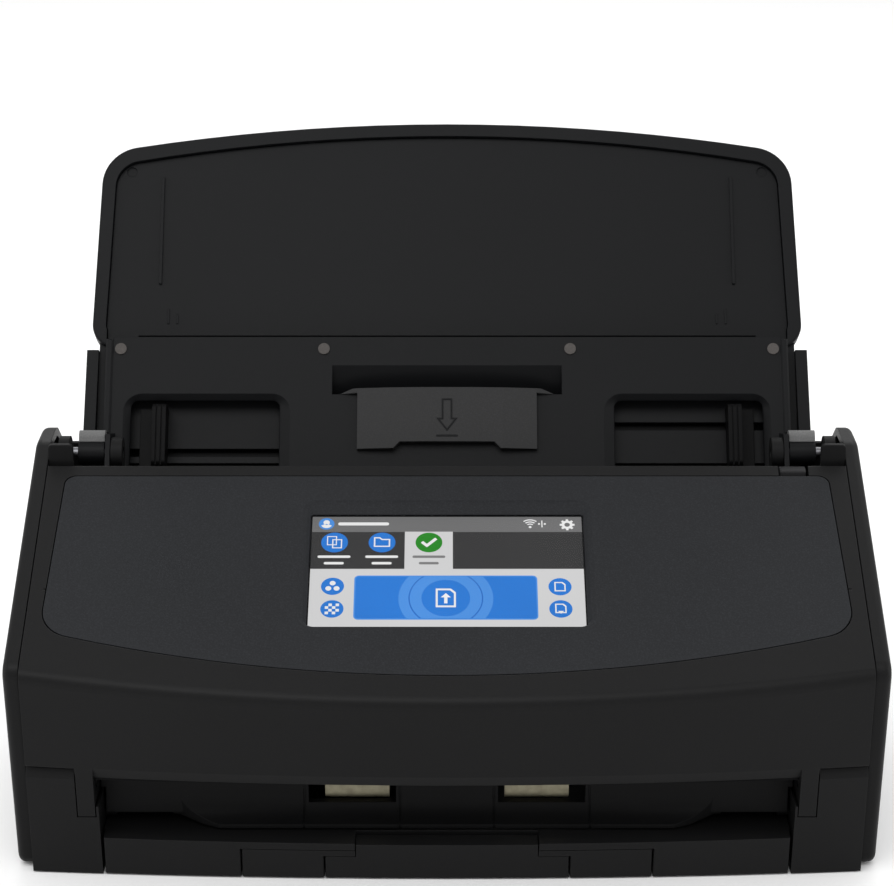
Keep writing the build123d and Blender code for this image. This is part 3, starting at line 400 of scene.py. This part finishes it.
def make_display():
    look = display_materials()

    def layer(name, loops, level, colour):
        low = (level + 0.2) * LAYER
        return flat_piece("screen_" + name, loops, DISPLAY, low, low + LAYER * 0.7, look[colour], "front_unit")

    layer("field", [rectangle(-SCREEN_HALF, SCREEN_HALF, SCREEN_LOW, TILES_LOW)], 0, "paper")
    layer("header", [rectangle(-SCREEN_HALF, SCREEN_HALF, HEADER_LOW, SCREEN_TOP)], 0, "header")
    layer("tile_row", [rectangle(-SCREEN_HALF, SCREEN_HALF, TILES_LOW, HEADER_LOW)], 0, "dark")
    layer("selected_tile", [rectangle(-14.5, 2.0, TILES_LOW - 0.6, HEADER_LOW + 0.1)], 1, "paper")

    # header: a user's round badge, a signal fan and a settings wheel
    badge = (-41.6, 53.2)
    layer("badge", [arc(*badge, 2.7)], 1, "pale_blue")
    layer("badge_figure", [arc(badge[0], badge[1] + 0.6, 1.1), arc_band(*badge, 0, 2.0, 205, 335)], 2, "white")
    layer("name_bar", [rectangle(-37.6, -20.0, 52.5, 53.9, 0.7)], 1, "white")
    fan = (28.7, 51.7)
    fans = [arc_band(*fan, r, r + 0.45, 50, 130) for r in (1.2, 2.2, 3.2)]
    layer("signal", fans + [arc(*fan, 0.5)], 1, "white")
    link = (32.8, 53.2)
    link_stem = rectangle(link[0] - 0.2, link[0] + 0.2, link[1] - 1.6, link[1] + 1.6)
    layer("link", [link_stem, arc(link[0] - 1.0, link[1], 0.4), arc(link[0] + 1.0, link[1], 0.4)], 1, "white")
    layer("wheel", [gear(41.5, 52.8, 2.6), arc(41.5, 52.8, 0.95)], 1, "white")

    # three job tiles, each a round badge over two plain bars
    tiles = (("pages", -38.6, "blue", "white"), ("folder", -22.3, "blue", "white"),
             ("chosen", -6.2, "green", "label_grey"))
    for tile, x, badge_colour, bar_colour in tiles:
        layer(tile + "_badge", [arc(x, 44.4, 4.6)], 2, badge_colour)
        bars = [rectangle(x - 5.6, x + 5.6, 37.2, 38.3, 0.5), rectangle(x - 3.4, x + 3.4, 34.2, 35.3, 0.5)]
        layer(tile + "_bars", bars, 2, bar_colour)
    page = folded_page(-37.7, 43.7, 1.7, 2.1, 0.0)
    back_page = folded_page(-39.5, 45.2, 1.7, 2.1, 0.0)
    layer("pages_sign", [back_page, folded_page(-39.5, 45.2, 1.35, 1.75, 0.0)], 3, "white")
    layer("pages_sign_front", [page, folded_page(-37.7, 43.7, 1.3, 1.7, 0.0)], 4, "white")
    outer = [(-25.1, 42.3), (-19.5, 42.3), (-19.5, 46.0), (-22.2, 46.0), (-23.0, 46.8), (-25.1, 46.8)]
    inner = [(-24.6, 42.8), (-20.0, 42.8), (-20.0, 45.5), (-22.4, 45.5), (-23.2, 46.3), (-24.6, 46.3)]
    layer("folder_sign", [outer, inner], 3, "white")
    tick = [(-9.0, 44.2), (-8.2, 45.0), (-6.9, 43.7), (-4.1, 46.6), (-3.3, 45.8), (-6.9, 42.1)]
    layer("chosen_sign", [tick], 3, "white")

    # the large button with its rings, and a plain page with an arrow into it
    button = (-30.9, 30.1, 9.7, 28.6)
    middle = (-0.4, 18.7)
    rim = 0.5
    edge = rectangle(button[0] - rim, button[1] + rim, button[2] - rim, button[3] + rim, 1.6)
    layer("button_edge", [edge], 1, "pale_blue")
    layer("button", [rectangle(*button, 1.2)], 2, "blue")
    top, bottom = button[3] - middle[1] - 0.02, middle[1] - button[2] - 0.02
    for name, r, level, colour in (("ring_wide", 16.0, 3, "pale_blue"), ("ring_middle", 12.6, 4, "line_blue"),
                                   ("ring_inner", 12.2, 5, "pale_blue")):
        # a disc cut off level with the button's upper and lower edges
        high, low = math.degrees(math.asin(top / r)), math.degrees(math.asin(bottom / r))
        disc = arc(*middle, r, -low, high, 10) + arc(*middle, r, 180 - high, 180 + low, 10)
        layer(name, [disc], level, colour)
    layer("ring_core", [arc(*middle, 8.2)], 6, "blue")
    sheet_sign = folded_page(0, 18.7, 3.4, 4.2, 1.7)
    sheet_sign = [(x + middle[0], y) for x, y in sheet_sign]
    hole = [(x * 0.8 + middle[0] * 0.2, (y - 18.7) * 0.82 + 18.7) for x, y in sheet_sign]
    layer("button_sheet", [sheet_sign, hole], 7, "white")
    layer("button_arrow", [arrow(middle[0], 20.8, 16.2, 1.7, 0.55, 18.9)], 8, "white")

    # four small round signs: colour dots, a grid, a page and a page with a point
    for sign, x, y in (("dots", -38.7, 24.2), ("grid", -38.6, 14.0), ("single", 38.2, 24.0), ("double", 38.2, 14.0)):
        layer(sign + "_badge", [arc(x, y, 3.9)], 1, "blue")
    layer("dots_sign", [arc(-38.7, 25.6, 1.0), arc(-40.1, 23.2, 1.0), arc(-37.3, 23.2, 1.0)], 2, "white")
    squares = []
    for row in range(4):
        for column in range(4):
            if (row + column) % 2 == 0:
                x, y = -41.0 + 1.2 * column, 11.6 + 1.2 * row
                squares.append(rectangle(x, x + 1.15, y, y + 1.15))
    layer("grid_sign", squares, 2, "white")
    for name, y in (("single_sign", 24.0), ("double_sign", 14.2)):
        layer(name, [folded_page(38.2, y, 1.9, 2.1, 1.0), folded_page(38.2, y, 1.45, 1.65, 0.9)], 2, "white")
    layer("double_point", [[(37.2, 13.0), (39.2, 13.0), (38.2, 11.8)]], 3, "white")


make_display()


# ---- small moulded marks ----
def make_marks():
    """A feed arrow on the slot cover, and size marks at both sides of the chute."""
    hood_top = 11.4
    down = [(0, 9.4), (3.9, 14.4), (1.9, 14.4), (1.9, 21.6), (-1.9, 21.6), (-1.9, 14.4), (-3.9, 14.4)]
    inner = [(0, 10.5), (2.6, 13.8), (1.3, 13.8), (1.3, 21.0), (-1.3, 21.0), (-1.3, 13.8), (-2.6, 13.8)]
    flat_piece("feed_arrow", [down, inner], CHUTE, hood_top, hood_top + 0.14, materials["receipt_plastic"],
               "receipt_guide", 0.03)
    flat_piece("feed_line", [rectangle(-3.9, 3.9, 7.4, 8.1, 0.3)], CHUTE, hood_top, hood_top + 0.14,
               materials["receipt_plastic"], "receipt_guide", 0.03)
    for side, word in ((-1, "left"), (1, "right")):
        marks = []
        for x, low, high in ((102.2, 53.6, 59.4), (98.9, 53.6, 57.4)):
            marks.append(rectangle(side * x - 0.45, side * x + 0.45, low, high, 0.2))
        flat_piece("size_marks_" + word, marks, CHUTE, 0.0, 0.3, materials["chute_plastic"], "chute",
                   0.1)


make_marks()


# ---- hinge cowls ----
def make_cowls():
    """Upright covers in front of and behind each outer end of the chute's pin, joined to the side cover."""
    pin = Vector(joints["chute_hinge"]["pos_m"])
    for place_word, offset, low, high in (("front", -6.0, 92.0, 126.0), ("back", 17.0, 92.0, 119.0)):
        upright = plane_matrix(Vector((0, pin.y + offset * MM, 0)), Vector((0, 0, 1)), Vector((0, -1, 0)))
        for side, word in ((-1, "left"), (1, "right")):
            x0, x1 = sorted((side * 131.8, side * 140.6))
            flat_piece("hinge_cowl_" + place_word + "_" + word, [rectangle(x0, x1, low, high, 1.6)], upright,
                       0.0, 2.2, materials["base_plastic"], "base", 0.3)


make_cowls()


# ---- camera, floor and light ----
def make_camera():
    """Looks down at 19 degrees from in front; the lens is long, as in a product picture."""
    data = bpy.data.cameras.new("camera")
    camera = bpy.data.objects.new("camera", data)
    bpy.context.scene.collection.objects.link(camera)
    data.sensor_width = 36.0
    data.lens = 108.7
    data.clip_end = 50
    hinge_line = joints["cover_hinge"]["pos_m"][1]
    camera.location = (0, hinge_line - CAMERA_BACK, CAMERA_HIGH)
    camera.rotation_euler = (math.radians(90 - CAMERA_PITCH), 0, 0)
    bpy.context.scene.camera = camera


def make_floor():
    bpy.ops.mesh.primitive_plane_add(size=24, location=(0, 2, 0))
    floor = bpy.context.object
    floor.name = "floor"
    material, tree, shader = new_material("floor")
    mist = noise(tree, place(tree), 3, 2)
    tree.links.new(blend_colours(tree, mist, (0.86, 0.86, 0.86), (0.9, 0.9, 0.9)), shader.inputs["Base Color"])
    shader.inputs["Roughness"].default_value = 0.9
    floor.data.materials.append(material)


def area_light(name, place_at, aim, size, power, colour=(1, 1, 1)):
    data = bpy.data.lights.new(name, "AREA")
    data.shape = "RECTANGLE"
    data.size, data.size_y = size
    data.energy = power
    data.color = colour
    light = bpy.data.objects.new(name, data)
    bpy.context.scene.collection.objects.link(light)
    light.location = place_at
    light.rotation_euler = (Vector(aim) - Vector(place_at)).to_track_quat("-Z", "Y").to_euler()


def make_light():
    world = bpy.data.worlds.new("studio")
    world.use_nodes = True
    world.node_tree.nodes["Background"].inputs["Color"].default_value = (1, 1, 1, 1)
    world.node_tree.nodes["Background"].inputs["Strength"].default_value = 0.75
    bpy.context.scene.world = world
    middle = (0, 0, 0.1)
    area_light("key", (-0.3, -0.9, 1.6), middle, (1.4, 1.0), 16)
    area_light("back", (0.2, 1.3, 1.3), middle, (2.0, 0.6), 14)
    area_light("left", (-1.3, -0.2, 0.5), middle, (0.5, 1.2), 5)
    area_light("right", (1.3, -0.2, 0.5), middle, (0.5, 1.2), 5)


make_camera()
make_floor()
make_light()
bpy.context.scene.view_settings.view_transform = "Standard"
